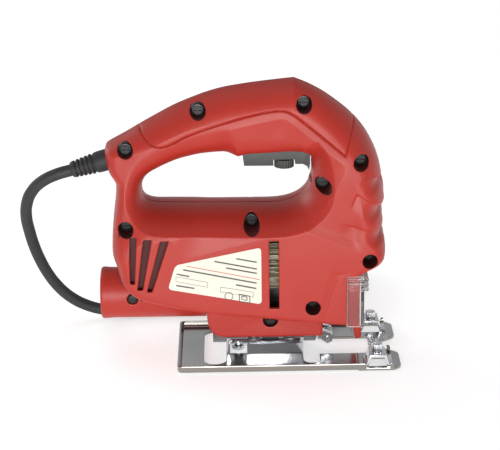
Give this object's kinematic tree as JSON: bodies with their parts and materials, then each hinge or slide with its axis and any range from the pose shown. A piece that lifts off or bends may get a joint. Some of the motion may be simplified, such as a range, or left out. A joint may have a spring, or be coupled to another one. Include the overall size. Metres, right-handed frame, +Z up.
{
  "type": "jigsaw power tool",
  "caption": "Corded D-handle jigsaw: split plastic case, trigger with speed dial, motor and gear train driving a blade plunger, tilting steel shoe, clear guard, dust tube and coiled mains lead.",
  "frame": {"origin": "middle of the shoe's sole plane, on the case's parting plane", "axes": "+X towards the front, the cutting direction; +Z up, square to the sole; +Y to the tool's left"},
  "size_m": [0.2229, 0.181, 0.168],
  "materials": {
    "red_plastic": "satin moulded plastic with fine texture",
    "dark_grey_plastic": "satin",
    "black_plastic": "satin",
    "black_screw": "black oxide",
    "label": "printed film",
    "cord_rubber": "matt",
    "spring_steel": "bright",
    "steel": "machined",
    "laminated_steel": "stacked laminations",
    "copper_wire": "enamelled winding",
    "brass": "pressed",
    "bronze": "sintered",
    "carbon": "matt",
    "fan_plastic": "moulded",
    "cast_aluminium": "as cast",
    "zinc_plate": "bright zinc",
    "clear_plastic": "clear"
  },
  "bodies": {
    "case": {"housing_right": "red_plastic", "housing_left": "red_plastic", "housing_screws": "black_screw", "rating_label": "label", "dust_tube": "red_plastic", "trigger_pin": "steel", "lock_spring": "spring_steel", "switch_body": "black_plastic", "trigger_spring": "spring_steel", "cord_sleeve": "cord_rubber", "cord_clamp": "black_plastic", "cord_clamp_screws": "steel", "power_cord": "cord_rubber", "cord_coil": "cord_rubber", "cord_tie": "cord_rubber", "mains_plug": "black_plastic", "plug_pins": "steel", "stator_core": "laminated_steel", "field_coils": "copper_wire", "rear_bearing": "steel", "front_bearing": "steel", "brush_holders": "brass", "carbon_brushes": "carbon", "brush_springs": "spring_steel", "gear_bracket": "cast_aluminium", "gear_axle": "steel", "plunger_guide": "cast_aluminium", "upper_bush": "bronze", "lower_bush": "bronze", "roller_bracket": "zinc_plate", "roller_pin": "steel", "chip_guard": "clear_plastic", "tilt_bolt": "steel", "tilt_washer": "zinc_plate"},
    "trigger_lever": {"trigger": "dark_grey_plastic"},
    "dial_wheel": {"speed_dial": "dark_grey_plastic"},
    "lock_knob": {"lock_button": "black_plastic"},
    "armature": {"armature_shaft": "steel", "armature_core": "laminated_steel", "commutator": "copper_wire", "cooling_fan": "fan_plastic", "pinion": "steel"},
    "gear": {"drive_gear": "steel", "crank_roller": "steel"},
    "blade_plunger": {"plunger": "steel", "blade_clamp": "zinc_plate", "clamp_screws": "black_screw"},
    "roller": {"guide_roller": "steel"},
    "shoe": {"shoe_plate": "zinc_plate", "tilt_saddle": "zinc_plate", "clamp_arches": "zinc_plate", "guide_nuts": "zinc_plate"},
    "screw_right": {"guide_screw_right": "zinc_plate"},
    "screw_left": {"guide_screw_left": "zinc_plate"}
  },
  "joints": [
    {"name": "trigger_press", "type": "hinge", "parent": "case", "child": "trigger_lever", "pos_m": [0.0094, 0, 0.1284], "axis": [0, 1, 0], "range_deg": [0, 6.5], "stiffness_Nm_per_rad": 0.6, "springref_deg": -8.59},
    {"name": "speed_dial_turn", "type": "hinge", "parent": "trigger_lever", "child": "dial_wheel", "pos_m": [-0.0016, -0.0042, 0.119], "axis": [0, 0, 1], "range_deg": [0, 270]},
    {"name": "lock_press", "type": "slide", "parent": "case", "child": "lock_knob", "axis": [0, -1, 0], "range_m": [0, 0.0028], "stiffness_N_per_m": 400, "springref_m": -0.002},
    {"name": "armature_spin", "type": "hinge", "parent": "case", "child": "armature", "pos_m": [0, 0, 0.06], "axis": [1, 0, 0], "continuous": true},
    {"name": "gear_spin", "type": "hinge", "parent": "case", "child": "gear", "pos_m": [0.0174, 0, 0.084], "axis": [1, 0, 0], "continuous": true},
    {"name": "plunger_stroke", "type": "slide", "parent": "case", "child": "blade_plunger", "axis": [0, 0, 1], "range_m": [-0.018, 0]},
    {"name": "roller_spin", "type": "hinge", "parent": "case", "child": "roller", "pos_m": [0.0238, 0, 0.0089], "axis": [0, 1, 0], "continuous": true},
    {"name": "shoe_bevel", "type": "hinge", "parent": "case", "child": "shoe", "pos_m": [0, 0, 0.02], "axis": [1, 0, 0], "range_deg": [-45, 45]},
    {"name": "screw_right_turn", "type": "hinge", "parent": "shoe", "child": "screw_right", "pos_m": [0.0517, -0.024, 0.009], "axis": [0, 0, 1], "range_deg": [0, 720]},
    {"name": "screw_left_turn", "type": "hinge", "parent": "shoe", "child": "screw_left", "pos_m": [0.0517, 0.024, 0.009], "axis": [0, 0, 1], "range_deg": [0, 720]}
  ],
  "couplings": [
    {"joint": "gear_spin", "follows": "armature_spin", "ratio": -0.2}
  ]
}
